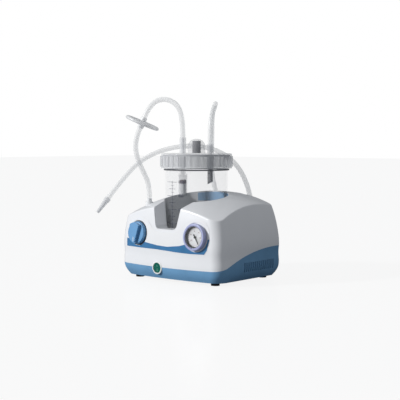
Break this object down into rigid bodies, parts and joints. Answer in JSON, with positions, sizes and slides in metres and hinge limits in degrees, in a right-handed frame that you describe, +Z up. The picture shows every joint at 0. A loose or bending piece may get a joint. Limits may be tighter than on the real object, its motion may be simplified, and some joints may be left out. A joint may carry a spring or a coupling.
{
  "type": "suction aspirator",
  "caption": "Tabletop suction aspirator: white casing on a blue base, clear lidded jar in a well, regulator knob, vacuum gauge, round switch, filter and tubes.",
  "frame": {"origin": "on the standing surface, at the middle of the housing's width and of the depth from the knob's grip to the mains inlet's flange", "axes": "+Z up, the front with the controls faces -Y, +X to the right seen from the front"},
  "size_m": [0.3139, 0.2383, 0.3452],
  "materials": {
    "white_casing": "gloss",
    "blue_base": "satin",
    "black_rubber": "matte",
    "steel": "satin",
    "clear_jar": "clear",
    "clear_lid": "clear",
    "clear_valve": "clear",
    "grey_dome": "gloss",
    "soft_gasket": "matte",
    "float_white": "satin",
    "float_rubber": "matte",
    "knob_blue": "satin",
    "grey_plastic": "matte",
    "bezel_lavender": "satin",
    "dial_white": "satin",
    "gauge_glass": "clear",
    "needle_black": "matte",
    "switch_white": "gloss",
    "switch_green": "gloss",
    "black_plastic": "matte",
    "brass": "satin",
    "port_white": "satin",
    "motor_steel": "satin",
    "copper_core": "satin",
    "cast_alloy": "satin",
    "silicone_tube": "satin",
    "inner_hose": "satin",
    "filter_white": "satin"
  },
  "bodies": {
    "housing": {"base_tray": "blue_base", "upper_casing": "white_casing", "rear_handle": "blue_base", "rubber_feet": "black_rubber", "casing_screws": "steel", "knob_collar": "black_plastic", "regulator_body": "grey_plastic", "gauge_case": "bezel_lavender", "gauge_dial": "dial_white", "gauge_lens": "gauge_glass", "switch_housing": "switch_white", "mains_inlet": "black_plastic", "inlet_pins": "brass", "vacuum_port": "port_white", "motor_can": "motor_steel", "crankcase": "cast_alloy", "pump_cylinder": "cast_alloy", "cylinder_head": "cast_alloy", "pump_plate": "steel", "pump_mounts": "black_rubber", "port_hose": "inner_hose", "pump_hose": "inner_hose"},
    "jar": {"collection_jar": "clear_jar"},
    "lid": {"jar_lid": "clear_lid", "lid_gasket": "soft_gasket", "valve_dome": "grey_dome", "float_cage": "clear_valve", "drop_tube": "clear_valve", "suction_tube_upper": "silicone_tube", "bacteria_filter": "filter_white", "suction_tube_lower": "silicone_tube", "patient_tube": "silicone_tube", "tube_connector": "clear_valve"},
    "float": {"overflow_float": "float_white", "float_seal": "float_rubber"},
    "knob": {"control_knob": "knob_blue", "valve_stem": "steel"},
    "needle": {"gauge_needle": "needle_black"},
    "rocker": {"power_rocker": "switch_green"},
    "motor_drive": {"motor_rotor": "copper_core", "cooling_fan": "black_plastic", "crank": "steel"},
    "piston": {"pump_piston": "cast_alloy"}
  },
  "joints": [
    {"name": "jar_lift", "type": "slide", "parent": "housing", "child": "jar", "axis": [0, 0, 1], "range_m": [0, 0.15]},
    {"name": "lid_lift", "type": "slide", "parent": "jar", "child": "lid", "axis": [0, 0, 1], "range_m": [0, 0.1]},
    {"name": "float_rise", "type": "slide", "parent": "lid", "child": "float", "axis": [0, 0, 1], "range_m": [0, 0.0084]},
    {"name": "knob_turn", "type": "hinge", "parent": "housing", "child": "knob", "pos_m": [-0.071, -0.08822, 0.088], "axis": [0, -0.9962, 0.0872], "range_deg": [-270, 0]},
    {"name": "needle_swing", "type": "hinge", "parent": "housing", "child": "needle", "pos_m": [0.071, -0.08822, 0.088], "axis": [0, -0.9962, 0.0872], "range_deg": [0, 270], "stiffness_Nm_per_rad": 0.0002},
    {"name": "rocker_tilt", "type": "hinge", "parent": "housing", "child": "rocker", "pos_m": [-0.02, -0.09162, 0.0257], "axis": [1, 0, 0], "range_deg": [-14, 0]},
    {"name": "motor_spin", "type": "hinge", "parent": "housing", "child": "motor_drive", "pos_m": [0.086, 0.00498, 0.044], "axis": [0, 1, 0], "continuous": true},
    {"name": "piston_stroke", "type": "slide", "parent": "housing", "child": "piston", "axis": [0, 0, 1], "range_m": [-0.003, 0.003]}
  ]
}
